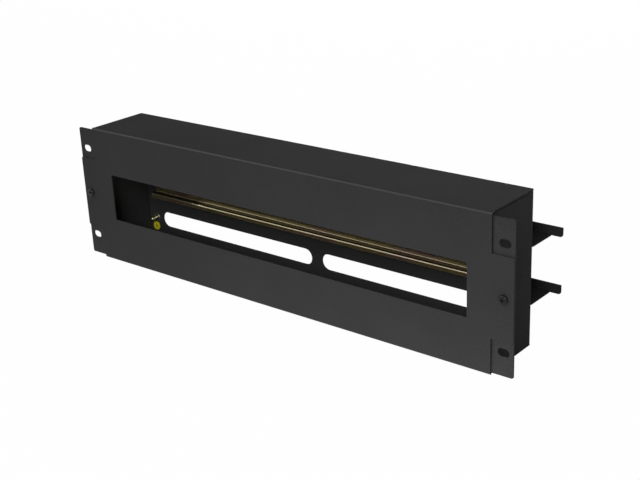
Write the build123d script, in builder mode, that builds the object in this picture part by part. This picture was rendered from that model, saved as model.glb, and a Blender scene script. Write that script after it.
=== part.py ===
from build123d import *

import os

# Empty distribution panel for a 19 inch rack, three units high: a folded rear
# chassis whose side walls turn out into the rack ears, a folded front cover
# with one window, a DIN rail behind the window and four cable arms at the back.
# Frame: +X is right as seen from the front, +Y goes back, +Z is up. The origin
# is the middle of the four rack slots, on the rear face of the ears.

# Rack pattern
panel_width = 482.6
rack_slot_inset = 8.75
rack_pitch_z = 88.9
rack_slot_length = 10.5
rack_slot_width = 6.8

# Sheets and bends, radii measured on the inside of each bend
chassis_sheet = 1.5
cover_sheet = 1.2
arm_sheet = 1.5
ear_bend = 3.0
corner_bend = 1.0
cover_bend = 0.8
arm_bend = 1.5

# Front cover
ear_width = 19.6
cover_height = 133.3
window_margin = 21.2
window_height = 45.8
tongue_height = 69.8
tongue_corner = 1.5
flange_corner = 1.5

# Rear chassis, which stands inside the cover's two flanges
side_overhang = 0.9
flange_gap = 1.0
chassis_depth = 61.8
flange_setback = 0.5
ear_corner = 1.5
rear_slot_margin = 18.8
rear_slot_width = 15.6
rear_slot_bridge = 11.7
rear_slot_rise = 23.15

# DIN rail, 35 by 7.5, slotted
rail_width = 35.0
rail_channel = 27.0
rail_depth = 7.5
rail_sheet = 1.0
rail_bend = 0.8
rail_end_gap = 11.6
rail_slot_length = 15.0
rail_slot_width = 6.2
rail_slot_pitch = 25.0
rail_slot_margin = 20.0
rail_screw_end_slots = 1

# Screws, nuts and their clearances
cover_thread = 4.0
cover_head_diameter = 8.0
cover_head_height = 2.4
cover_screw_length = 8.0
cover_hole_clearance = 0.5
clinch_shank = 5.4
clinch_body = 7.9
clinch_height = 3.0
rail_thread = 5.0
rail_head_diameter = 9.5
rail_head_height = 3.4
rail_screw_length = 10.0
rail_hole_clearance = 0.5
nut_across_flats = 8.0
nut_height = 4.7
thread_gap = 0.05
seat_gap = 0.02

# Earth stud, its washer and the round label below it
stud_thread = 4.0
stud_height = 9.5
stud_inset = 10.0
stud_rise = 23.3
stud_head = 6.6
stud_head_height = 0.8
washer_diameter = 9.0
washer_height = 0.8
washer_gap = 0.15
label_diameter = 10.0
label_height = 0.2
label_shift_x = -2.1
label_drop = 9.75

# Cable arms
arm_width = 16.0
arm_reach = 34.5
arm_foot = 20.0
arm_lip = 8.0
arm_head = 35.0
arm_head_corner = 2.0
arm_inset = 9.6
arm_spacing = 50.0
arm_middle_z = -8.0

# Faces that the pieces share
ear_rear = 0.0
ear_front = ear_rear - chassis_sheet
cover_front = ear_front - cover_sheet
rack_pitch_x = panel_width - 2 * rack_slot_inset
cover_width = panel_width - 2 * ear_width
window_width = cover_width - 2 * window_margin
chassis_width = cover_width - 2 * side_overhang
chassis_height = cover_height - 2 * (cover_sheet + flange_gap)
wall_rear = chassis_depth
wall_front = wall_rear - chassis_sheet
flange_front = cover_front + cover_sheet + cover_bend
flange_rear = wall_rear - flange_setback
rail_web_front = wall_front - rail_sheet
rail_front = wall_front - rail_depth
rail_length = chassis_width - 2 * (chassis_sheet + rail_end_gap)
rail_half_count = int((rail_length / 2 - rail_slot_margin - rail_slot_length / 2) // rail_slot_pitch)
rail_slot_count = 2 * rail_half_count + 1
rail_screw_pitch = (rail_half_count - rail_screw_end_slots) * rail_slot_pitch
cover_screw_x = rack_pitch_x / 2
chassis_bottom = -chassis_height / 2
rear_slot_length = chassis_width / 2 - rear_slot_margin - rear_slot_bridge / 2
rear_slot_z = chassis_bottom + rear_slot_rise
stud_x = -chassis_width / 2 + stud_inset
stud_z = chassis_bottom + stud_rise
label_x = stud_x + label_shift_x
label_z = stud_z - label_drop
arm_x = chassis_width / 2 - arm_inset

os.makedirs("parts", exist_ok=True)


def facing_front(x, y, z):
    """Plane at a point whose normal points out of the front, with its own x to the right."""
    return Plane(origin=(x, y, z), x_dir=(1, 0, 0), z_dir=(0, -1, 0))


def save(piece, name):
    piece.label = name
    export_step(piece, f"parts/{name}.step")


# Rear chassis: one strip folded into the side walls, rear wall and ears
with BuildPart() as rear_chassis:
    with BuildSketch(Plane.XY.offset(chassis_bottom)):
        with BuildLine():
            FilletPolyline(
                (-panel_width / 2, ear_rear),
                (-chassis_width / 2, ear_rear),
                (-chassis_width / 2, wall_rear),
                (chassis_width / 2, wall_rear),
                (chassis_width / 2, ear_rear),
                (panel_width / 2, ear_rear),
                radius=(
                    ear_bend,
                    corner_bend + chassis_sheet,
                    corner_bend + chassis_sheet,
                    ear_bend,
                ),
            )
            offset(amount=chassis_sheet, side=Side.RIGHT)
        make_face()
    extrude(amount=chassis_height)
    ear_tips = rear_chassis.edges().filter_by(Axis.Y).group_by(Axis.X)
    fillet(ear_tips[0] + ear_tips[-1], radius=ear_corner)
    with BuildSketch(facing_front(0, ear_front, 0)):
        with GridLocations(rack_pitch_x, rack_pitch_z, 2, 2):
            SlotOverall(rack_slot_length, rack_slot_width)
        with GridLocations(2 * cover_screw_x, 0, 2, 1):
            Circle(clinch_shank / 2)
    extrude(amount=-chassis_sheet, mode=Mode.SUBTRACT)
    with BuildSketch(facing_front(0, wall_front, 0)):
        with Locations((0, rear_slot_z)):
            with GridLocations(rear_slot_length + rear_slot_bridge, 0, 2, 1):
                SlotOverall(rear_slot_length, rear_slot_width)
        with GridLocations(rail_screw_pitch, 0, 3, 1):
            Circle((rail_thread + rail_hole_clearance) / 2)
        with Locations((stud_x, stud_z)):
            Circle(stud_thread / 2 + seat_gap)
    extrude(amount=-chassis_sheet, mode=Mode.SUBTRACT)
    with BuildSketch(facing_front(stud_x, wall_rear, stud_z)):
        Circle(stud_head / 2 + seat_gap)
    extrude(amount=stud_head_height, mode=Mode.SUBTRACT)
save(rear_chassis.part, "rear_chassis")

# Front cover: one sheet folded into the face and two flanges, which are as
# wide as the chassis, with a tongue over each ear that leaves the slots free
with BuildPart() as front_cover:
    with BuildSketch(Plane.YZ.offset(-cover_width / 2)):
        with BuildLine():
            FilletPolyline(
                (flange_rear, cover_height / 2),
                (cover_front, cover_height / 2),
                (cover_front, -cover_height / 2),
                (flange_rear, -cover_height / 2),
                radius=cover_bend + cover_sheet,
            )
            offset(amount=cover_sheet, side=Side.LEFT)
        make_face()
    extrude(amount=cover_width)
    with BuildSketch(Plane.XY.offset(-cover_height / 2)):
        with Locations((0, (flange_front + flange_rear) / 2)):
            with GridLocations(chassis_width + side_overhang, 0, 2, 1):
                Rectangle(side_overhang, flange_rear - flange_front)
    extrude(amount=cover_height, mode=Mode.SUBTRACT)
    flange_tips = front_cover.edges().filter_by(Axis.Z).group_by(Axis.Y)[-1]
    fillet(flange_tips, radius=flange_corner)
    with BuildSketch(facing_front(0, cover_front, 0)):
        RectangleRounded(panel_width, tongue_height, tongue_corner)
    extrude(amount=-cover_sheet)
    with BuildSketch(facing_front(0, cover_front, 0)):
        Rectangle(window_width, window_height)
        with GridLocations(2 * cover_screw_x, 0, 2, 1):
            Circle((cover_thread + cover_hole_clearance) / 2)
    extrude(amount=-cover_sheet, mode=Mode.SUBTRACT)
save(front_cover.part, "front_cover")

# DIN rail: a hat section with its web flat on the rear wall
with BuildPart() as din_rail:
    with BuildSketch(Plane.YZ.offset(-rail_length / 2)):
        with BuildLine():
            FilletPolyline(
                (rail_front, rail_width / 2),
                (rail_front, rail_channel / 2 - rail_sheet),
                (rail_web_front, rail_channel / 2 - rail_sheet),
                (rail_web_front, -rail_channel / 2 + rail_sheet),
                (rail_front, -rail_channel / 2 + rail_sheet),
                (rail_front, -rail_width / 2),
                radius=(
                    rail_bend + rail_sheet,
                    rail_bend,
                    rail_bend,
                    rail_bend + rail_sheet,
                ),
            )
            offset(amount=rail_sheet, side=Side.LEFT)
        make_face()
    extrude(amount=rail_length)
    with BuildSketch(facing_front(0, rail_web_front, 0)):
        with GridLocations(rail_slot_pitch, 0, rail_slot_count, 1):
            SlotOverall(rail_slot_length, rail_slot_width)
    extrude(amount=-rail_sheet, mode=Mode.SUBTRACT)
save(din_rail.part, "din_rail")

# Rail screws go through the rail's slots and the rear wall into plain nuts
for place, step in (("left", -1), ("middle", 0), ("right", 1)):
    screw_x = step * rail_screw_pitch
    seat = facing_front(screw_x, rail_web_front, 0)
    with BuildPart() as rail_screw:
        with BuildSketch(seat):
            Circle(rail_head_diameter / 2)
        extrude(amount=rail_head_height)
        with BuildSketch(seat):
            Circle(rail_thread / 2)
        extrude(amount=-rail_screw_length)
    save(rail_screw.part, f"rail_screw_{place}")

    nut_seat = facing_front(screw_x, wall_rear, 0)
    with BuildPart() as rail_nut:
        with BuildSketch(nut_seat):
            RegularPolygon(nut_across_flats / 2, 6, major_radius=False)
        extrude(amount=-nut_height)
        with BuildSketch(nut_seat):
            Circle(rail_thread / 2 + thread_gap)
        extrude(amount=-nut_height, mode=Mode.SUBTRACT)
    save(rail_nut.part, f"rail_nut_{place}")

# Cover screws go through the tongues into nuts pressed into the ears
for place, side in (("left", -1), ("right", 1)):
    seat = facing_front(side * cover_screw_x, cover_front, 0)
    with BuildPart() as cover_screw:
        with BuildSketch(seat):
            Circle(cover_head_diameter / 2)
        extrude(amount=cover_head_height)
        with BuildSketch(seat):
            Circle(cover_thread / 2)
        extrude(amount=-cover_screw_length)
    save(cover_screw.part, f"cover_screw_{place}")

    with BuildPart() as cover_nut:
        with BuildSketch(facing_front(side * cover_screw_x, ear_front, 0)):
            Circle(clinch_shank / 2 - seat_gap)
        extrude(amount=-chassis_sheet)
        with BuildSketch(facing_front(side * cover_screw_x, ear_rear, 0)):
            Circle(clinch_body / 2)
        extrude(amount=-clinch_height)
        with BuildSketch(facing_front(side * cover_screw_x, ear_front, 0)):
            Circle(cover_thread / 2 + thread_gap)
        extrude(amount=-chassis_sheet - clinch_height, mode=Mode.SUBTRACT)
    save(cover_nut.part, f"cover_nut_{place}")

# Earth stud: pressed into the rear wall with its head flush at the back
with BuildPart() as earth_stud:
    with BuildSketch(facing_front(stud_x, wall_rear, stud_z)):
        Circle(stud_head / 2)
    extrude(amount=stud_head_height)
    with BuildSketch(facing_front(stud_x, wall_rear, stud_z)):
        Circle(stud_thread / 2)
    extrude(amount=chassis_sheet + stud_height)
save(earth_stud.part, "earth_stud")

with BuildPart() as earth_washer:
    with BuildSketch(facing_front(stud_x, wall_front, stud_z)):
        Circle(washer_diameter / 2)
        Circle(stud_thread / 2 + washer_gap, mode=Mode.SUBTRACT)
    extrude(amount=washer_height)
save(earth_washer.part, "earth_washer")

with BuildPart() as earth_label:
    with BuildSketch(facing_front(label_x, wall_front, label_z)):
        Circle(label_diameter / 2)
    extrude(amount=label_height)
save(earth_label.part, "earth_label")

# Cable arms: a foot flat on the rear wall, a stem straight back and a wider
# lip turned up at its end
for level, lift in (("upper", 0.5), ("lower", -0.5)):
    for place, side in (("left", -1), ("right", 1)):
        stem_bottom = arm_middle_z + lift * arm_spacing
        arm_end = wall_rear + arm_reach
        with BuildPart() as cable_arm:
            with BuildSketch(Plane.YZ.offset(side * arm_x - arm_width / 2)):
                with BuildLine():
                    FilletPolyline(
                        (wall_rear, stem_bottom + arm_foot),
                        (wall_rear, stem_bottom),
                        (arm_end, stem_bottom),
                        (arm_end, stem_bottom + arm_lip),
                        radius=arm_bend + arm_sheet,
                    )
                    offset(amount=arm_sheet, side=Side.LEFT)
                make_face()
            extrude(amount=arm_width)
            with BuildSketch(facing_front(side * arm_x, arm_end, stem_bottom + arm_lip / 2)):
                lip = Rectangle(arm_head, arm_lip)
                fillet(lip.vertices().group_by(Axis.Y)[0], radius=arm_head_corner)
                Rectangle(arm_width, arm_lip, mode=Mode.SUBTRACT)
            extrude(amount=arm_sheet)
        save(cable_arm.part, f"cable_arm_{level}_{place}")
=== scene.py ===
from math import cos, pi, radians, sin

import bmesh
import bpy
from bpy.props import FloatProperty, FloatVectorProperty, IntProperty, PointerProperty
from mathutils import Euler, Matrix, Vector


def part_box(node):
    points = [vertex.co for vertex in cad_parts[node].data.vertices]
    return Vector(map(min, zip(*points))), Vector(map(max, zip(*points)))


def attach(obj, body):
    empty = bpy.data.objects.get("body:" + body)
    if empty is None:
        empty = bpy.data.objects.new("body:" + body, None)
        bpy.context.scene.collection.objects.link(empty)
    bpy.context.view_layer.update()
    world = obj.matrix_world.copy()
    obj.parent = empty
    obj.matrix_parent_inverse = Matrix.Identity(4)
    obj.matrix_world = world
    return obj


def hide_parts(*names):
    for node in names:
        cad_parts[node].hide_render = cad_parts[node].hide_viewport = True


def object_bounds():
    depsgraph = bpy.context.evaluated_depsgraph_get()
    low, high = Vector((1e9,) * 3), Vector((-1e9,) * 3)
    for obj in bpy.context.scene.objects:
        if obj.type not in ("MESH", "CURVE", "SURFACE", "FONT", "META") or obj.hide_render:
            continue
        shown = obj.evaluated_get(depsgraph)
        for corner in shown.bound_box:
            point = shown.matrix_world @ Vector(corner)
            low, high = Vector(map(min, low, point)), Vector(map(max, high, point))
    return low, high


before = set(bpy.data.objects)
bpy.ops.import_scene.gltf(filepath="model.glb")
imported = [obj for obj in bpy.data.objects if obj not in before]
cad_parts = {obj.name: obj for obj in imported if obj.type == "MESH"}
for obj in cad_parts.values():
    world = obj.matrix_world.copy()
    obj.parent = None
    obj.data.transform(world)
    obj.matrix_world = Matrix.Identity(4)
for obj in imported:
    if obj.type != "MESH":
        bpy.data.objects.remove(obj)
CAD_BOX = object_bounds()
MM = 0.001

bl_info = {
    "name": "Rack distribution panel",
    "version": (1, 0, 0),
    "blender": (4, 5, 0),
    "location": "View3D > Sidebar > Panel",
    "description": "Finishes, threads, label and stage for a 19 inch rack distribution panel",
    "category": "Object",
}

ARMS = tuple(
    f"cable_arm_{level}_{side}" for level in ("upper", "lower") for side in ("left", "right"))
COVER_SCREWS = ("cover_screw_left", "cover_screw_right")
RAIL_SCREWS = ("rail_screw_left", "rail_screw_middle", "rail_screw_right")
NUTS = (
    "cover_nut_left", "cover_nut_right", "rail_nut_left", "rail_nut_middle", "rail_nut_right")

# A fastener is built along +Z with its head up, and this turn lays it with the head to the front
FACE_FRONT = Euler((pi / 2, 0, 0))

# Largest part of a rounded normal: below the first a face is on a fold, above the second flat
FOLD_NORMAL = (0.86, 0.985)

# Zone of painted shade on the walls of the rail's channel: its distance from the rail's front and
# back, and its fade
CHANNEL_FRONT = 0.25 * MM
CHANNEL_BACK = 1.5 * MM
CHANNEL_FADE = 0.5 * MM

# Where along the rail the painted highlight on its bends turns from yellow to rose, in metres
# from the middle
HIGHLIGHT_ROSE_SPAN = (-0.02, 0.16)

# Roughness of the rail's bends, which carry a painted highlight, as a share of the rest
BEND_SMOOTHNESS = 0.5

# Patterns on the rail are drawn out along X: the drift of its tints and the lines of the rolling
DRIFT_STRETCH = (0.35, 1, 1)
ROLLED_STRETCH = (0.02, 1, 1)

# Pan head: its flat crown as a share of the radius, its straight rim as a share of the height
HEAD_CROWN = 0.45
HEAD_RIM = 0.42
DOME_STEPS = 10

# Cross recess: size of its mouth as shares of the head's radius, and of its floor as shares of
# the mouth. The cutter stands over the head, so that it cuts the dome through.
RECESS_SPAN = 1.05
RECESS_WIDTH = 0.24
RECESS_FLOOR_SPAN = 0.45
RECESS_FLOOR_WIDTH = 0.78
CUTTER_OVERLAP = 0.2 * MM

# Tip of a screw as a share of its core's radius, and the sides of a thread's ridge
SCREW_TIP = 0.8
THREAD_RIDGE_SIDES = 4

# Vertices nearer than this are one
MERGE_DISTANCE = 1e-7

# Print on the label, as shares of its radius: the ring's outer edge, and for each bar of the
# earth sign the place of its middle above the label's, its width and its height
RING_REACH = 0.97
RING_FACETS = 64
SIGN_BARS = ((0.26, 0.122, 0.462), (0.02, 0.922, 0.122), (-0.2, 0.622, 0.122),
             (-0.42, 0.322, 0.122))

# The floor's painted bounce glow is gone at this multiple of the distance from the middle to a
# panel end
BOUNCE_END = 1.5

# Width of the camera's sensor in millimetres
SENSOR_WIDTH = 36


class PaintSettings(bpy.types.PropertyGroup):
    """Powder coats of the cover, the chassis and the arms"""
    cover_colour: FloatVectorProperty(
        name="Cover", description="Powder coat on the front cover", subtype="COLOR", size=3,
        min=0, max=1, default=(0.030, 0.030, 0.0302))
    chassis_colour: FloatVectorProperty(
        name="Chassis", description="Powder coat on the rear chassis", subtype="COLOR", size=3,
        min=0, max=1, default=(0.031, 0.031, 0.0312))
    # Painted shade: the arms' coat is painted darker than the cover's, for the shade they lie in
    # behind the panel
    arm_shaded_colour: FloatVectorProperty(
        name="Arms", description="Powder coat on the cable arms", subtype="COLOR", size=3,
        min=0, max=1, default=(0.019, 0.019, 0.0192))
    grain: FloatProperty(
        name="Grain", description="Distance between the grains of the coat", default=0.9 * MM,
        unit="LENGTH", precision=5)
    grain_depth: FloatProperty(
        name="Grain depth", description="Height of the grains", default=0.05 * MM,
        unit="LENGTH", precision=5)
    fleck: FloatProperty(
        name="Fleck", description="How much lighter the tips of the grains are", default=1.5,
        min=1)
    roughness: FloatProperty(
        name="Roughness", description="Roughness of the coat", default=0.9, min=0, max=1,
        subtype="FACTOR")
    fold_roughness: FloatProperty(
        name="Fold roughness",
        description="Roughness of the coat where folds and edges are rubbed smooth",
        default=0.3, min=0, max=1, subtype="FACTOR")
    # Painted highlight: the cover's folds and cut edges are painted this much lighter, in place
    # of the light they catch
    fold_highlight: FloatProperty(
        name="Fold wear",
        description="How much lighter the coat is where folds and edges are rubbed",
        default=2.2, min=1)
    gloss: FloatProperty(
        name="Gloss", description="Strength of the coat's mirror part", default=0.03, min=0,
        max=1, subtype="FACTOR")
    edge: FloatProperty(
        name="Edge", description="Radius of the coat over a cut edge", default=0.35 * MM,
        unit="LENGTH", precision=5)


class MetalSettings(bpy.types.PropertyGroup):
    """Finishes of the rail and the fasteners"""
    straw: FloatVectorProperty(
        name="Straw", description="Main colour of the yellow passivation", subtype="COLOR",
        size=3, min=0, max=1, default=(0.38, 0.31, 0.15))
    rose: FloatVectorProperty(
        name="Rose", description="Pink tint of the passivation", subtype="COLOR", size=3,
        min=0, max=1, default=(0.40, 0.27, 0.20))
    olive: FloatVectorProperty(
        name="Olive", description="Green tint of the passivation", subtype="COLOR", size=3,
        min=0, max=1, default=(0.27, 0.28, 0.09))
    # Painted highlight: bright colours on the rail's bends, yellow at the left and rose at the
    # right, in place of the glint they catch
    highlit: FloatVectorProperty(
        name="Rubbed", description="Passivation rubbed bright on the rail's bends",
        subtype="COLOR", size=3, min=0, max=1, default=(1.0, 0.94, 0.68))
    highlit_rose: FloatVectorProperty(
        name="Rubbed rose", description="Rubbed passivation towards the rail's right end",
        subtype="COLOR", size=3, min=0, max=1, default=(1.0, 0.82, 0.70))
    # Painted shade: the walls of the rail's channel are painted dark where they lie in shade
    shaded: FloatVectorProperty(
        name="Dull", description="Duller passivation on the walls of the rail's channel",
        subtype="COLOR", size=3, min=0, max=1, default=(0.06, 0.052, 0.012))
    film_metal: FloatProperty(
        name="Metal share",
        description="Share of the passivated surface that mirrors as metal", default=0.8,
        min=0, max=1, subtype="FACTOR")
    rail_roughness: FloatProperty(
        name="Rail roughness", description="Roughness of the rail between its bends",
        default=0.17, min=0, max=1, subtype="FACTOR")
    # Reach of the painted highlight over a bend of the rail
    highlight_reach: FloatProperty(
        name="Rail rubbing", description="How far the rubbing reaches over a bend of the rail",
        default=0.3 * MM, unit="LENGTH", precision=5)
    stud: FloatVectorProperty(
        name="Stud", description="Yellow passivation on the stud", subtype="COLOR", size=3,
        min=0, max=1, default=(0.62, 0.57, 0.36))
    zinc: FloatVectorProperty(
        name="Zinc", description="Bright zinc", subtype="COLOR", size=3, min=0, max=1,
        default=(0.66, 0.67, 0.68))
    screw_roughness: FloatProperty(
        name="Screw roughness", description="Roughness of the rail screws and the stud",
        default=0.3, min=0, max=1, subtype="FACTOR")
    nut_roughness: FloatProperty(
        name="Nut roughness", description="Roughness of the nuts and the washer",
        default=0.34, min=0, max=1, subtype="FACTOR")
    screw_black: FloatVectorProperty(
        name="Black screw", description="Black finish of the cover screws", subtype="COLOR",
        size=3, min=0, max=1, default=(0.014, 0.014, 0.014))
    black_roughness: FloatProperty(
        name="Black roughness", description="Roughness of the black finish", default=0.25,
        min=0, max=1, subtype="FACTOR")


class FastenerSettings(bpy.types.PropertyGroup):
    """Threads, heads and recesses"""
    facets: IntProperty(
        name="Facets", description="Facets round a fastener", default=64, min=12)
    thread_depth: FloatProperty(
        name="Thread depth", description="Depth of a thread as a share of its pitch",
        default=0.55, min=0.1, max=1, subtype="FACTOR")
    cover_thread: FloatProperty(
        name="M4 thread", description="Thread size of the cover screws and the stud",
        default=4 * MM, unit="LENGTH", precision=5)
    cover_pitch: FloatProperty(
        name="M4 pitch", description="Pitch of the cover screws and the stud",
        default=0.7 * MM, unit="LENGTH", precision=5)
    rail_thread: FloatProperty(
        name="M5 thread", description="Thread size of the rail screws", default=5 * MM,
        unit="LENGTH", precision=5)
    rail_pitch: FloatProperty(
        name="M5 pitch", description="Pitch of the rail screws", default=0.8 * MM,
        unit="LENGTH", precision=5)
    rail_sheet: FloatProperty(
        name="Rail sheet", description="Thickness of the rail, which its screws' heads sit on",
        default=1 * MM, unit="LENGTH", precision=5)
    stud_head: FloatProperty(
        name="Stud head", description="Height of the stud's flush head", default=0.8 * MM,
        unit="LENGTH", precision=5)
    recess_depth: FloatProperty(
        name="Recess depth",
        description="Depth of the cross recess as a share of the head's height", default=0.62,
        min=0, max=0.9, subtype="FACTOR")


class LabelSettings(bpy.types.PropertyGroup):
    """Earth label and its print"""
    film: FloatVectorProperty(
        name="Film", description="Colour of the label film", subtype="COLOR", size=3, min=0,
        max=1, default=(0.80, 0.74, 0.03))
    ink: FloatVectorProperty(
        name="Ink", description="Colour of the print", subtype="COLOR", size=3, min=0, max=1,
        default=(0.16, 0.14, 0.01))
    ring: FloatProperty(
        name="Ring", description="Width of the printed ring", default=0.45 * MM,
        unit="LENGTH", precision=5)
    print_height: FloatProperty(
        name="Print height", description="Height of the print over the film",
        default=0.03 * MM, unit="LENGTH", precision=5)


class StageSettings(bpy.types.PropertyGroup):
    """Floor, lamps, sky and camera"""
    floor_size: FloatProperty(
        name="Floor", description="Side of the square floor", default=14.0, unit="LENGTH")
    floor_colour: FloatVectorProperty(
        name="Floor colour", description="Colour of the floor as the lamps light it",
        subtype="COLOR", size=3, min=0, max=1, default=(0.86, 0.86, 0.86))
    floor_share: FloatProperty(
        name="Floor white", description="Share of plain white in the floor as the camera sees it",
        default=0.985, min=0, max=1, subtype="FACTOR")
    # Painted light: the floor glows in a patch before the panel, stronger at the right, to throw
    # light up on it
    bounce_glow: FloatVectorProperty(
        name="Bounce",
        description="Light that the floor throws up before the panel, at its left and right end",
        size=2, default=(0.45, 1.45), min=0)
    bounce_depth: FloatProperty(
        name="Bounce depth", description="How far before the panel the floor throws light up",
        default=0.18, unit="LENGTH")
    key_power: FloatProperty(
        name="Key", description="Power of the large far lamp", default=75.0, min=0)
    key_size: FloatProperty(
        name="Key size", description="Side of the large far lamp", default=1.2, unit="LENGTH")
    key_place: FloatVectorProperty(
        name="Key place", description="Where the large lamp stands, above the left front",
        size=3, subtype="TRANSLATION", default=(-3.4, -2.2, 3.0))
    lamp_size: FloatProperty(
        name="Lamp size", description="Side of each of the three smaller lamps", default=0.8,
        unit="LENGTH")
    front_power: FloatProperty(
        name="Front lamp",
        description="Power of the lamp that lights the inside through the window",
        default=22.0, min=0)
    front_place: FloatVectorProperty(
        name="Front lamp place",
        description="Where the front lamp stands, behind and above the camera", size=3,
        subtype="TRANSLATION", default=(0.8, -1.6, 1.0))
    side_power: FloatProperty(
        name="Side lamp", description="Power of the faint lamp beside the right end",
        default=2.5, min=0)
    side_place: FloatVectorProperty(
        name="Side lamp place", description="Where the side lamp stands", size=3,
        subtype="TRANSLATION", default=(2.2, 0.4, 0.5))
    back_power: FloatProperty(
        name="Back lamp", description="Power of the lamp behind the panel", default=56.0, min=0)
    back_place: FloatVectorProperty(
        name="Back lamp place", description="Where the lamp behind the panel stands", size=3,
        subtype="TRANSLATION", default=(-1.2, 2.3, 0.1))
    sky: FloatProperty(
        name="Sky", description="Strength of the even light from all round", default=0.05,
        min=0)
    azimuth: FloatProperty(
        name="Azimuth", description="Turn of the camera round the panel",
        default=radians(39.96), subtype="ANGLE")
    elevation: FloatProperty(
        name="Elevation", description="Height of the camera above the horizon",
        default=radians(21.20), subtype="ANGLE")
    roll: FloatProperty(
        name="Roll", description="Tilt of the picture", default=radians(2.588),
        subtype="ANGLE")
    lens: FloatProperty(
        name="Lens", description="Focal length in millimetres, on a 36 mm wide sensor",
        default=65.26)
    place: FloatVectorProperty(
        name="Place", description="Where the camera stands", size=3, subtype="TRANSLATION",
        default=(634.53 * MM, -691.52 * MM, 359.23 * MM))


def node(tree, kind, links=None, **values):
    """A node with its properties, then its inputs: a socket is linked, other values are set."""
    made = tree.nodes.new(kind)
    for name, value in values.items():
        setattr(made, name, value)
    for name, value in (links or {}).items():
        if isinstance(value, bpy.types.NodeSocket):
            tree.links.new(value, made.inputs[name])
        else:
            made.inputs[name].default_value = value
    return made


def new_material(name, roughness, metallic=0.0, colour=None, specular=0.5):
    """A material with its node tree and its shader."""
    material = bpy.data.materials.new(name)
    material.use_nodes = True
    tree = material.node_tree
    shader = tree.nodes["Principled BSDF"]
    shader.inputs["Roughness"].default_value = roughness
    shader.inputs["Metallic"].default_value = metallic
    shader.inputs["Specular IOR Level"].default_value = specular
    if colour is not None:
        shader.inputs["Base Color"].default_value = (*colour, 1)
    return material, tree, shader


def object_place(tree, stretch=(1, 1, 1)):
    """Place on the object in metres, stretched along its axes."""
    place = node(tree, "ShaderNodeTexCoord")
    mapping = node(tree, "ShaderNodeMapping", {
        "Vector": place.outputs["Object"], "Scale": stretch})
    return mapping.outputs["Vector"]


def noise(tree, place, scale, detail=2.0, distortion=0.0):
    """Smooth noise from 0 to 1, its scale in waves per metre."""
    made = node(tree, "ShaderNodeTexNoise", {
        "Vector": place, "Scale": scale, "Detail": detail, "Distortion": distortion})
    return made.outputs["Fac"]


def spread(tree, value, low, high, source_low=0.3, source_high=0.7):
    """Maps a value from its source range to low and high, and no farther."""
    made = node(tree, "ShaderNodeMapRange", {
        "Value": value, "From Min": source_low, "From Max": source_high,
        "To Min": low, "To Max": high})
    return made.outputs["Result"]


def colour_ramp(tree, value, stops):
    """Colour ramp through (position, colour) stops."""
    made = node(tree, "ShaderNodeValToRGB", {"Fac": value})
    ramp = made.color_ramp
    while len(ramp.elements) < len(stops):
        ramp.elements.new(0.5)
    for element, (position, colour) in zip(ramp.elements, stops):
        element.position = position
        element.color = (*colour, 1)
    return made.outputs["Color"]


def shade(colour, factor):
    """The colour made darker or lighter."""
    return tuple(min(1.0, part * factor) for part in colour)


def mottled(tree, value, colour, darkest, lightest, low=0.3, high=0.7):
    """The colour between two shades of itself, as a value goes from low to high."""
    return colour_ramp(tree, value, (
        (low, shade(colour, darkest)), (high, shade(colour, lightest))))


def bump(tree, shader, height, distance, edge=None):
    """Gives a shader small relief, over edges rounded to a radius."""
    made = node(tree, "ShaderNodeBump", {"Height": height, "Distance": distance})
    if edge:
        rounded = node(tree, "ShaderNodeBevel", {"Radius": edge}, samples=6)
        tree.links.new(rounded.outputs["Normal"], made.inputs["Normal"])
    tree.links.new(made.outputs["Normal"], shader.inputs["Normal"])


def bent_share(tree, radius):
    """0 on a face square to the axes, rising to 1 on a fold or a rounded edge."""
    turned = node(tree, "ShaderNodeBevel", {"Radius": radius}, samples=6)
    sizes = node(tree, "ShaderNodeVectorMath", {0: turned.outputs["Normal"]},
                 operation="ABSOLUTE")
    parts = node(tree, "ShaderNodeSeparateXYZ", {0: sizes.outputs["Vector"]}).outputs
    most = parts["X"]
    for part in ("Y", "Z"):
        most = node(tree, "ShaderNodeMath", {0: most, 1: parts[part]},
                    operation="MAXIMUM").outputs[0]
    return spread(tree, most, 1, 0, *FOLD_NORMAL)


def powder_coat(name, colour, paint, highlit_folds=False):
    """Fine textured black powder coat: small grains, faint clouds, and if asked a painted
    highlight on folds and cut edges, which are painted lighter and made smoother there.
    """
    material, tree, shader = new_material(name, paint.roughness, specular=paint.gloss)
    place = object_place(tree)
    clouds = noise(tree, place, scale=14, detail=4)
    grains = noise(tree, place, scale=1 / paint.grain)
    tint = node(tree, "ShaderNodeMixRGB", {
        "Fac": spread(tree, grains, 0, 1, source_low=0.35, source_high=0.75),
        "Color1": mottled(tree, clouds, colour, darkest=0.88, lightest=1.12),
        "Color2": (*shade(colour, paint.fleck), 1)}).outputs["Color"]
    # Painted highlight on folds and cut edges: a lighter coat colour, with a lower roughness
    if highlit_folds:
        highlit = bent_share(tree, paint.edge)
        tint = node(tree, "ShaderNodeMixRGB", {
            "Fac": highlit, "Color1": tint,
            "Color2": (*shade(colour, paint.fold_highlight), 1)}).outputs["Color"]
        roughness = spread(tree, highlit, paint.roughness, paint.fold_roughness, 0, 1)
    else:
        roughness = spread(tree, grains, paint.roughness - 0.08, paint.roughness + 0.06)
    tree.links.new(tint, shader.inputs["Base Color"])
    tree.links.new(roughness, shader.inputs["Roughness"])
    bump(tree, shader, grains, paint.grain_depth, paint.edge)
    return material


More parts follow.
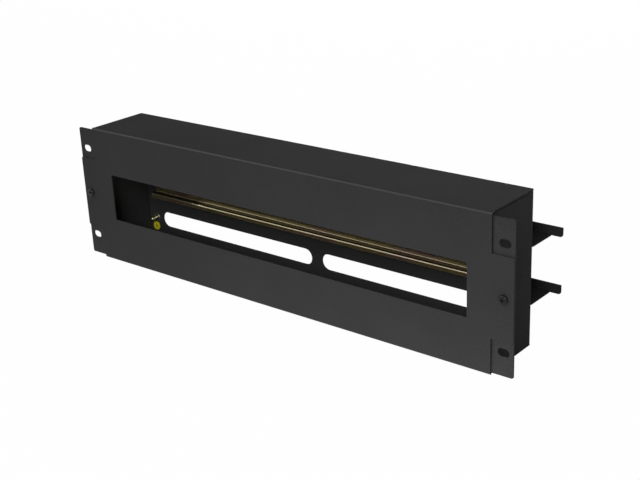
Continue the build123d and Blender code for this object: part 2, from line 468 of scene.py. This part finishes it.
def passivated_steel(name, metal, channel):
    """Zinc with a yellow passivation, with a painted highlight on its bends and painted shade on
    the walls of its channel between two depths.

    Straw, rose and olive drift into each other along the rolled strip.
    """
    roughness = metal.rail_roughness
    material, tree, shader = new_material(name, roughness, metallic=metal.film_metal)
    drift = noise(tree, object_place(tree, DRIFT_STRETCH), scale=42, detail=3, distortion=0.6)
    rolled = noise(tree, object_place(tree, ROLLED_STRETCH), scale=700, detail=3)
    tint = colour_ramp(tree, drift, (
        (0.28, metal.olive), (0.42, metal.straw), (0.5, shade(metal.straw, 1.12)),
        (0.6, metal.rose), (0.74, shade(metal.rose, 0.86))))
    place = node(tree, "ShaderNodeSeparateXYZ", {"Vector": object_place(tree)}).outputs
    front, back = channel
    inside = node(tree, "ShaderNodeMath", {
        0: spread(tree, place["Y"], 0, 1, front, front + CHANNEL_FADE),
        1: spread(tree, place["Y"], 1, 0, back - CHANNEL_FADE, back)}, operation="MULTIPLY")
    # Painted highlight on the bends, turning from yellow to rose along the rail
    highlight_tint = colour_ramp(tree, spread(tree, place["X"], 0, 1, *HIGHLIGHT_ROSE_SPAN), (
        (0, metal.highlit), (1, metal.highlit_rose)))
    highlit = bent_share(tree, metal.highlight_reach)
    bright = node(tree, "ShaderNodeMixRGB", {"Fac": highlit, "Color1": tint, "Color2": highlight_tint})
    # Painted shade on the channel walls between the two depths
    shaded_walls = node(tree, "ShaderNodeMixRGB", {
        "Fac": inside.outputs["Value"], "Color1": bright.outputs["Color"],
        "Color2": (*metal.shaded, 1)})
    tree.links.new(shaded_walls.outputs["Color"], shader.inputs["Base Color"])
    worn = node(tree, "ShaderNodeMath", {
        0: spread(tree, rolled, roughness * 0.8, roughness * 1.25),
        1: spread(tree, highlit, 1, BEND_SMOOTHNESS, 0, 1)}, operation="MULTIPLY")
    tree.links.new(worn.outputs["Value"], shader.inputs["Roughness"])
    bump(tree, shader, rolled, distance=0.004 * MM, edge=0.15 * MM)
    return material


def bright_zinc(name, colour, roughness):
    """Bright zinc with a faint spangle."""
    material, tree, shader = new_material(name, roughness, metallic=1.0)
    spangle = noise(tree, object_place(tree), scale=900)
    tint = mottled(tree, spangle, colour, darkest=0.86, lightest=1.08, low=0.35, high=0.65)
    tree.links.new(tint, shader.inputs["Base Color"])
    tree.links.new(spread(tree, spangle, roughness - 0.06, roughness + 0.08),
                   shader.inputs["Roughness"])
    bump(tree, shader, spangle, distance=0.008 * MM, edge=0.1 * MM)
    return material


def black_finish(name, colour, roughness):
    """Satin black finish of a screw, with a worn gleam in its fine grain."""
    material, tree, shader = new_material(name, roughness, specular=0.12)
    grain = noise(tree, object_place(tree), scale=1600)
    tint = mottled(tree, grain, colour, darkest=0.8, lightest=1.5, low=0.35)
    tree.links.new(tint, shader.inputs["Base Color"])
    tree.links.new(spread(tree, grain, roughness - 0.05, roughness + 0.05),
                   shader.inputs["Roughness"])
    bump(tree, shader, grain, distance=0.01 * MM)
    return material


def label_film(name, colour):
    """Matt film with a slight unevenness."""
    material, tree, shader = new_material(name, roughness=0.45)
    mottle = noise(tree, object_place(tree), scale=420)
    tint = mottled(tree, mottle, colour, darkest=0.9, lightest=1.06)
    tree.links.new(tint, shader.inputs["Base Color"])
    bump(tree, shader, mottle, distance=0.01 * MM)
    return material


def label_ink(name, colour):
    """Printed ink, a little uneven where it lies thin."""
    material, tree, shader = new_material(name, roughness=0.5)
    mottle = noise(tree, object_place(tree), scale=1800)
    tint = mottled(tree, mottle, colour, darkest=0.75, lightest=1.3)
    tree.links.new(tint, shader.inputs["Base Color"])
    return material


def paint_nodes(names, material):
    """Gives CAD nodes a finish in every slot."""
    for name in names:
        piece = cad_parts[name]
        if not piece.material_slots:
            piece.data.materials.append(material)
        for slot in piece.material_slots:
            slot.material = material


def mesh_object(name, shape):
    """Object at the origin from a bmesh, its doubles merged and its faces turned out."""
    bmesh.ops.remove_doubles(shape, verts=shape.verts, dist=MERGE_DISTANCE)
    bmesh.ops.recalc_face_normals(shape, faces=shape.faces)
    mesh = bpy.data.meshes.new(name)
    shape.to_mesh(mesh)
    shape.free()
    made = bpy.data.objects.new(name, mesh)
    bpy.context.scene.collection.objects.link(made)
    return made


def smooth(piece, angle=radians(35)):
    """Smooth shading with sharp edges past an angle."""
    mesh = piece.data
    mesh.shade_smooth()
    mesh.set_sharp_from_angle(angle=angle)


def round_places(radius, facets):
    """Places round a circle, each as two numbers."""
    turns = (2 * pi * i / facets for i in range(facets))
    return [(radius * cos(turn), radius * sin(turn)) for turn in turns]


def lathe(shape, outline, facets):
    """Turns an outline of (radius, height) points, from axis to axis, round Z."""
    rings = []
    for radius, height in outline:
        if radius == 0:
            rings.append([shape.verts.new((0, 0, height))])
        else:
            rings.append([
                shape.verts.new((x, y, height)) for x, y in round_places(radius, facets)])
    for low, high in zip(rings, rings[1:]):
        for i in range(facets):
            j = (i + 1) % facets
            if len(low) == 1:
                shape.faces.new((low[0], high[i], high[j]))
            elif len(high) == 1:
                shape.faces.new((low[i], low[j], high[0]))
            else:
                shape.faces.new((low[i], low[j], high[j], high[i]))


def cross_cutter(span, width, depth, top):
    """Tapered cross that cuts a screw's recess, its mouth just over the head."""
    shape = bmesh.new()
    levels = (
        (span * RECESS_FLOOR_SPAN, width * RECESS_FLOOR_WIDTH, top - depth),
        (span, width, top + CUTTER_OVERLAP))
    for turn in (0, pi / 2):
        corners = []
        for length, breadth, height in levels:
            for x, y in ((-1, -1), (1, -1), (1, 1), (-1, 1)):
                point = Vector((x * length / 2, y * breadth / 2, height))
                corners.append(shape.verts.new(Matrix.Rotation(turn, 3, "Z") @ point))
        shape.faces.new(corners[3::-1])
        shape.faces.new(corners[4:])
        for i in range(4):
            j = (i + 1) % 4
            shape.faces.new((corners[i], corners[j], corners[j + 4], corners[i + 4]))
    return mesh_object("recess_cutter", shape)


def node_group(name, inputs):
    """Geometry nodes tree with one geometry output: the tree, its inputs and their sockets."""
    tree = bpy.data.node_groups.new(name, "GeometryNodeTree")
    tree.interface.new_socket(
        "Geometry", in_out="OUTPUT", socket_type="NodeSocketGeometry")
    sockets = {}
    for label, kind in inputs:
        made = tree.interface.new_socket(
            label, in_out="INPUT", socket_type=f"NodeSocket{kind}")
        sockets[label] = made.identifier
    return tree, node(tree, "NodeGroupInput").outputs, sockets


def finish_group(tree, geometry, material):
    """Ends a geometry nodes tree with its material."""
    coated = node(tree, "GeometryNodeSetMaterial", {"Geometry": geometry, "Material": material})
    out = node(tree, "NodeGroupOutput")
    tree.links.new(coated.outputs["Geometry"], out.inputs["Geometry"])


def thread_tree():
    """Geometry nodes for a screw thread: a ridge swept along a spiral."""
    tree, given, sockets = node_group("screw_thread", (
        ("Root radius", "Float"), ("Pitch", "Float"), ("Length", "Float"), ("Start", "Float"),
        ("Ridge", "Float"), ("Facets", "Int"), ("Finish", "Material")))
    turns = node(tree, "ShaderNodeMath", {0: given["Length"], 1: given["Pitch"]},
                 operation="DIVIDE")
    spiral = node(tree, "GeometryNodeCurveSpiral", {
        "Resolution": given["Facets"], "Rotations": turns.outputs[0],
        "Start Radius": given["Root radius"], "End Radius": given["Root radius"],
        "Height": given["Length"]})
    ridge = node(tree, "GeometryNodeCurvePrimitiveCircle", {
        "Resolution": THREAD_RIDGE_SIDES, "Radius": given["Ridge"]})
    swept = node(tree, "GeometryNodeCurveToMesh", {
        "Curve": spiral.outputs["Curve"], "Profile Curve": ridge.outputs["Curve"],
        "Fill Caps": True})
    lift = node(tree, "ShaderNodeCombineXYZ", {"Z": given["Start"]})
    moved = node(tree, "GeometryNodeTransform", {
        "Geometry": swept.outputs["Mesh"], "Translation": lift.outputs["Vector"]})
    finish_group(tree, moved.outputs["Geometry"], given["Finish"])
    return tree, sockets


def seats_tree():
    """Geometry nodes that put one fastener on every point, turned to face the front."""
    tree, given, sockets = node_group("fasteners_on_seats", (
        ("Seats", "Geometry"), ("Fastener", "Object"), ("Turn", "Rotation"),
        ("Finish", "Material")))
    fastener = node(tree, "GeometryNodeObjectInfo", {"Object": given["Fastener"]})
    placed = node(tree, "GeometryNodeInstanceOnPoints", {
        "Points": given["Seats"], "Instance": fastener.outputs["Geometry"],
        "Rotation": given["Turn"]})
    real = node(tree, "GeometryNodeRealizeInstances", {
        "Geometry": placed.outputs["Instances"]})
    finish_group(tree, real.outputs["Geometry"], given["Finish"])
    return tree, sockets


def grow(piece, tree_and_sockets, **inputs):
    """Runs a geometry nodes tree on an object and keeps the result as its plain mesh."""
    tree, sockets = tree_and_sockets
    modifier = piece.modifiers.new(tree.name, "NODES")
    modifier.node_group = tree
    for name, value in inputs.items():
        modifier[sockets[name.replace("_", " ").capitalize()]] = value
    flatten(piece)


def flatten(piece):
    """Turns an object's modifiers into its plain mesh."""
    evaluated = piece.evaluated_get(bpy.context.evaluated_depsgraph_get())
    mesh = bpy.data.meshes.new_from_object(evaluated)
    piece.modifiers.clear()
    piece.data = mesh


def join(target, other):
    """Adds another object's mesh to the target and deletes the other."""
    shape = bmesh.new()
    shape.from_mesh(target.data)
    shape.from_mesh(other.data)
    shape.to_mesh(target.data)
    shape.free()
    bpy.data.objects.remove(other)


def cut_recess(screw, head_radius, head_height, depth):
    """Cuts a cross recess into the top of a screw's head."""
    cutter = cross_cutter(
        head_radius * RECESS_SPAN, head_radius * RECESS_WIDTH, depth, head_height)
    modifier = screw.modifiers.new("recess", "BOOLEAN")
    modifier.operation = "DIFFERENCE"
    modifier.solver = "EXACT"
    modifier.use_self = True
    modifier.object = cutter
    flatten(screw)
    bpy.data.objects.remove(cutter)


def threaded(piece, radius, pitch, start, length, settings, finish):
    """Adds the ridge of a thread round a core along Z."""
    depth = pitch * settings.thread_depth
    host = mesh_object(piece.name + "_thread", bmesh.new())
    grow(host, thread_tree(), root_radius=radius - depth, pitch=pitch, length=length,
         start=start, ridge=depth, facets=settings.facets // 2, finish=finish)
    join(piece, host)


def pan_screw(name, thread, head_radius, head_height, length, pitch, settings, finish):
    """Pan-head screw with a domed rim, a cross recess and a thread, its seat at height 0."""
    turns = (pi / 2 * i / DOME_STEPS for i in range(DOME_STEPS + 1))
    dome = [(head_radius * (HEAD_CROWN + (1 - HEAD_CROWN) * cos(turn)),
             head_height * (HEAD_RIM + (1 - HEAD_RIM) * sin(turn))) for turn in turns]
    core = thread / 2 - pitch * settings.thread_depth
    shape = bmesh.new()
    lathe(shape, [
        (0, -length), (core * SCREW_TIP, -length), (core, -length + pitch / 2),
        (core, -pitch), (thread / 2, -pitch / 2), (thread / 2, 0), (head_radius, 0), *dome,
        (0, head_height)], settings.facets)
    screw = mesh_object(name, shape)
    cut_recess(screw, head_radius, head_height, head_height * settings.recess_depth)
    threaded(screw, thread / 2, pitch, -length + pitch, length - 2 * pitch, settings, finish)
    return screw


def on_seats(name, fastener, seats, finish):
    """Repeats a fastener on its seats as one plain mesh."""
    shape = bmesh.new()
    for seat in seats:
        shape.verts.new(seat)
    piece = mesh_object(name, shape)
    grow(piece, seats_tree(), fastener=fastener, turn=FACE_FRONT, finish=finish)
    smooth(piece)
    bpy.data.objects.remove(fastener)
    return piece


def middle(name):
    """Middle of a CAD node's box."""
    low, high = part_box(name)
    return (low + high) / 2


def place_screws(name, nodes, seat_y, thread, pitch, settings, finish):
    """Finished screws in place of CAD screws, with heads and lengths read from the nodes."""
    low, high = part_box(nodes[0])
    fastener = pan_screw(
        name + "_pattern", thread, (high.x - low.x) / 2, seat_y - low.y, high.y - seat_y, pitch,
        settings, finish)
    seats = [(middle(screw).x, seat_y, middle(screw).z) for screw in nodes]
    piece = on_seats(name, fastener, seats, finish)
    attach(piece, "root")
    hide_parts(*nodes)


class PANEL_OT_coat_sheets(bpy.types.Operator):
    """Powder coat on the cover, the chassis and the cable arms"""
    bl_idname = "rack_panel.coat_sheets"
    bl_label = "Coat the sheets"

    def execute(self, context):
        paint = context.scene.panel_paint
        # The cover's folds and cut edges carry a painted highlight
        paint_nodes(("front_cover",), powder_coat(
            "cover_coat", paint.cover_colour, paint, highlit_folds=True))
        paint_nodes(("rear_chassis",), powder_coat(
            "chassis_coat", paint.chassis_colour, paint))
        # The arms' darker coat is painted shade
        paint_nodes(ARMS, powder_coat("arm_coat", paint.arm_shaded_colour, paint))
        return {"FINISHED"}


class PANEL_OT_finish_rail(bpy.types.Operator):
    """Yellow passivation on the rail, bright zinc on the nuts and the washer"""
    bl_idname = "rack_panel.finish_rail"
    bl_label = "Finish the rail and nuts"

    def execute(self, context):
        metal = context.scene.panel_metal
        # The rail's channel, between whose depths the walls get painted shade
        front, back = (corner.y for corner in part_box("din_rail"))
        channel = (front + CHANNEL_FRONT, back - CHANNEL_BACK)
        paint_nodes(("din_rail",), passivated_steel("rail_passivation", metal, channel))
        paint_nodes(NUTS + ("earth_washer",), bright_zinc(
            "nut_zinc", metal.zinc, metal.nut_roughness))
        return {"FINISHED"}


class PANEL_OT_make_screws(bpy.types.Operator):
    """Screws with a domed head, a cross recess and a thread"""
    bl_idname = "rack_panel.make_screws"
    bl_label = "Make the screws"

    def execute(self, context):
        sizes = context.scene.panel_fasteners
        metal = context.scene.panel_metal
        cover_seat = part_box("front_cover")[0].y
        rail_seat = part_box("din_rail")[1].y - sizes.rail_sheet
        black = black_finish("screw_black", metal.screw_black, metal.black_roughness)
        place_screws("cover_screws", COVER_SCREWS, cover_seat,
                     sizes.cover_thread, sizes.cover_pitch, sizes, black)
        zinc = bright_zinc("screw_zinc", metal.zinc, metal.screw_roughness)
        place_screws("rail_screws", RAIL_SCREWS, rail_seat,
                     sizes.rail_thread, sizes.rail_pitch, sizes, zinc)
        return {"FINISHED"}


class PANEL_OT_make_stud(bpy.types.Operator):
    """Earth stud with its thread"""
    bl_idname = "rack_panel.make_stud"
    bl_label = "Make the earth stud"

    def execute(self, context):
        sizes = context.scene.panel_fasteners
        metal = context.scene.panel_metal
        low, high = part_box("earth_stud")
        place = middle("earth_stud")
        head_radius = (high.x - low.x) / 2
        length = high.y - low.y
        radius = sizes.cover_thread / 2
        pitch = sizes.cover_pitch
        core = radius - pitch * sizes.thread_depth
        finish = bright_zinc("stud_passivation", metal.stud, metal.screw_roughness)
        shape = bmesh.new()
        lathe(shape, [
            (0, 0), (head_radius, 0), (head_radius, sizes.stud_head), (core, sizes.stud_head),
            (core, length - pitch / 2), (core - pitch / 3, length), (0, length)],
            sizes.facets)
        stud = mesh_object("earth_stud_pattern", shape)
        start = high.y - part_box("earth_washer")[0].y
        threaded(stud, radius, pitch, start, length - start - pitch / 2, sizes, finish)
        piece = on_seats(
            "threaded_earth_stud", stud, [(place.x, high.y, place.z)], finish)
        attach(piece, "root")
        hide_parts("earth_stud")
        return {"FINISHED"}


class PANEL_OT_print_label(bpy.types.Operator):
    """Yellow label film with a printed ring and a plain earth sign"""
    bl_idname = "rack_panel.print_label"
    bl_label = "Print the earth label"

    def execute(self, context):
        label = context.scene.panel_label
        paint_nodes(("earth_label",), label_film("label_film", label.film))
        low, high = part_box("earth_label")
        centre = (low + high) / 2
        radius = (high.x - low.x) / 2
        outer = radius * RING_REACH
        shape = bmesh.new()
        ring_of_print(shape, outer, outer - label.ring, label.print_height)
        for z, width, height in SIGN_BARS:
            bar_of_print(shape, z * radius, width * radius, height * radius, label.print_height)
        bmesh.ops.translate(shape, verts=shape.verts, vec=(centre.x, low.y, centre.z))
        piece = mesh_object("earth_sign_print", shape)
        piece.data.materials.append(label_ink("label_ink", label.ink))
        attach(piece, "root")
        return {"FINISHED"}


def ring_of_print(shape, outer, inner, height):
    """Flat printed ring round the origin, raised to the front."""
    rings = []
    for radius, y in ((inner, 0), (outer, 0), (outer, -height), (inner, -height)):
        rings.append([
            shape.verts.new((x, y, z)) for x, z in round_places(radius, RING_FACETS)])
    for first, second in zip(rings, rings[1:] + rings[:1]):
        for i in range(RING_FACETS):
            j = (i + 1) % RING_FACETS
            shape.faces.new((first[i], first[j], second[j], second[i]))


def bar_of_print(shape, z, width, height, thickness):
    """Flat printed bar across the middle, raised to the front."""
    placed = Matrix.Translation((0, -thickness / 2, z))
    sized = Matrix.Diagonal((width, thickness, height, 1))
    bmesh.ops.create_cube(shape, size=1, matrix=placed @ sized)


class PANEL_OT_set_stage(bpy.types.Operator):
    """Pale floor, soft lamps, even sky and the camera"""
    bl_idname = "rack_panel.set_stage"
    bl_label = "Set the stage"

    def execute(self, context):
        stage = context.scene.panel_stage
        make_floor(stage)
        light_sky(stage)
        aim = middle("front_cover")
        add_lamp("key_lamp", stage.key_power, stage.key_size, stage.key_place, aim)
        add_lamp("front_lamp", stage.front_power, stage.lamp_size, stage.front_place, aim)
        add_lamp("side_lamp", stage.side_power, stage.lamp_size, stage.side_place, aim)
        add_lamp("back_lamp", stage.back_power, stage.lamp_size, stage.back_place, aim)
        set_camera(stage)
        return {"FINISHED"}


def camera_and_mirror_rays(tree):
    """1 for rays from the camera and for mirror and glass rays, else 0."""
    path = node(tree, "ShaderNodeLightPath").outputs
    seen = path["Is Camera Ray"]
    for kind in ("Is Glossy Ray", "Is Transmission Ray"):
        seen = node(tree, "ShaderNodeMath", {0: seen, 1: path[kind]},
                    operation="MAXIMUM").outputs[0]
    return seen


def floor_bounce_glow(tree, stage):
    """Painted bounce light: glow of the floor before the panel, more at the right and less
    farther out.
    """
    place = node(tree, "ShaderNodeSeparateXYZ", {
        0: node(tree, "ShaderNodeTexCoord").outputs["Object"]}).outputs
    off_centre = node(tree, "ShaderNodeMath", {0: place["X"]}, operation="ABSOLUTE").outputs[0]
    reach = CAD_BOX[1].x
    depth = stage.bounce_depth
    made = spread(tree, place["X"], stage.bounce_glow[0], stage.bounce_glow[1], -reach, reach)
    for share in (
            spread(tree, place["Y"], 0, 1, -depth, -depth / 2),
            spread(tree, place["Y"], 1, 0, CAD_BOX[0].y, 0),
            spread(tree, off_centre, 1, 0, reach, reach * BOUNCE_END)):
        made = node(tree, "ShaderNodeMath", {0: made, 1: share},
                    operation="MULTIPLY").outputs[0]
    return made


def make_floor(stage):
    """White floor that keeps a faint shadow, and glows in a patch before the panel as painted
    bounce light.
    """
    base = CAD_BOX[0].z
    half = stage.floor_size / 2
    shape = bmesh.new()
    shape.faces.new([
        shape.verts.new((x * half, y * half, base))
        for x, y in ((-1, -1), (1, -1), (1, 1), (-1, 1))])
    floor = mesh_object("floor", shape)
    material, tree, shader = new_material(
        "floor_white", roughness=0.9, colour=stage.floor_colour, specular=0.1)
    glow = node(tree, "ShaderNodeEmission", {"Color": (1, 1, 1, 1), "Strength": 1.0})
    # Painted bounce light: the floor glows here for diffuse rays, not to the camera
    glow_patch = node(tree, "ShaderNodeEmission", {
        "Color": (1, 1, 1, 1), "Strength": floor_bounce_glow(tree, stage)})
    lit = node(tree, "ShaderNodeAddShader", {
        0: shader.outputs["BSDF"], 1: glow_patch.outputs["Emission"]})
    seen = camera_and_mirror_rays(tree)
    plain = node(tree, "ShaderNodeMixShader", {
        "Fac": seen, 1: lit.outputs["Shader"], 2: shader.outputs["BSDF"]})
    share = node(tree, "ShaderNodeMath", {0: seen, 1: stage.floor_share},
                 operation="MULTIPLY")
    mixed = node(tree, "ShaderNodeMixShader", {
        "Fac": share.outputs[0], 1: plain.outputs["Shader"], 2: glow.outputs["Emission"]})
    tree.links.new(mixed.outputs["Shader"], tree.nodes["Material Output"].inputs["Surface"])
    floor.data.materials.append(material)


def light_sky(stage):
    """Even light from all round, white to the camera and in reflections."""
    world = bpy.data.worlds.new("studio")
    world.use_nodes = True
    tree = world.node_tree
    tree.nodes.clear()
    dim = node(tree, "ShaderNodeBackground", {"Color": (1, 1, 1, 1), "Strength": stage.sky})
    white = node(tree, "ShaderNodeBackground", {"Color": (1, 1, 1, 1), "Strength": 1.0})
    mixed = node(tree, "ShaderNodeMixShader", {
        "Fac": camera_and_mirror_rays(tree), 1: dim.outputs["Background"],
        2: white.outputs["Background"]})
    out = node(tree, "ShaderNodeOutputWorld")
    tree.links.new(mixed.outputs["Shader"], out.inputs["Surface"])
    bpy.context.scene.world = world


def add_lamp(name, power, size, place, aim):
    """Soft square lamp turned to a point."""
    lamp = bpy.data.lights.new(name, "AREA")
    lamp.size = size
    lamp.energy = power
    made = bpy.data.objects.new(name, lamp)
    made.location = place
    made.rotation_euler = (aim - Vector(place)).to_track_quat("-Z", "Y").to_euler()
    bpy.context.scene.collection.objects.link(made)


def set_camera(stage):
    """Camera at the photograph's place and angle."""
    camera = bpy.data.objects.new("camera", bpy.data.cameras.new("camera"))
    camera.data.sensor_width = SENSOR_WIDTH
    camera.data.lens = stage.lens
    turn = (
        Matrix.Rotation(stage.azimuth, 3, "Z")
        @ Matrix.Rotation(pi / 2 - stage.elevation, 3, "X")
        @ Matrix.Rotation(-stage.roll, 3, "Z"))
    camera.matrix_world = Matrix.Translation(stage.place) @ turn.to_4x4()
    bpy.context.scene.collection.objects.link(camera)
    bpy.context.scene.camera = camera


class PANEL_PT_sidebar(bpy.types.Panel):
    """Lists the panel's steps and settings"""
    bl_idname = "PANEL_PT_rack_panel"
    bl_label = "Rack panel"
    bl_space_type = "VIEW_3D"
    bl_region_type = "UI"
    bl_category = "Panel"

    def draw(self, context):
        for operator in OPERATORS:
            self.layout.operator(operator.bl_idname)
        for name in SETTINGS:
            box = self.layout.box()
            group = getattr(context.scene, name)
            for field in group.__annotations__:
                box.prop(group, field)


SETTINGS = {
    "panel_paint": PaintSettings,
    "panel_metal": MetalSettings,
    "panel_fasteners": FastenerSettings,
    "panel_label": LabelSettings,
    "panel_stage": StageSettings,
}
OPERATORS = (
    PANEL_OT_coat_sheets,
    PANEL_OT_finish_rail,
    PANEL_OT_make_screws,
    PANEL_OT_make_stud,
    PANEL_OT_print_label,
    PANEL_OT_set_stage,
)


def register():
    for made in (*SETTINGS.values(), *OPERATORS, PANEL_PT_sidebar):
        bpy.utils.register_class(made)
    for name, group in SETTINGS.items():
        setattr(bpy.types.Scene, name, PointerProperty(type=group))


def unregister():
    for name in SETTINGS:
        delattr(bpy.types.Scene, name)
    for made in (PANEL_PT_sidebar, *OPERATORS, *SETTINGS.values()):
        bpy.utils.unregister_class(made)


def main():
    """Runs every step in order."""
    register()
    bpy.context.scene.view_settings.view_transform = "Standard"
    bpy.ops.rack_panel.coat_sheets()
    bpy.ops.rack_panel.finish_rail()
    bpy.ops.rack_panel.make_screws()
    bpy.ops.rack_panel.make_stud()
    bpy.ops.rack_panel.print_label()
    bpy.ops.rack_panel.set_stage()


if __name__ == "__main__":
    main()
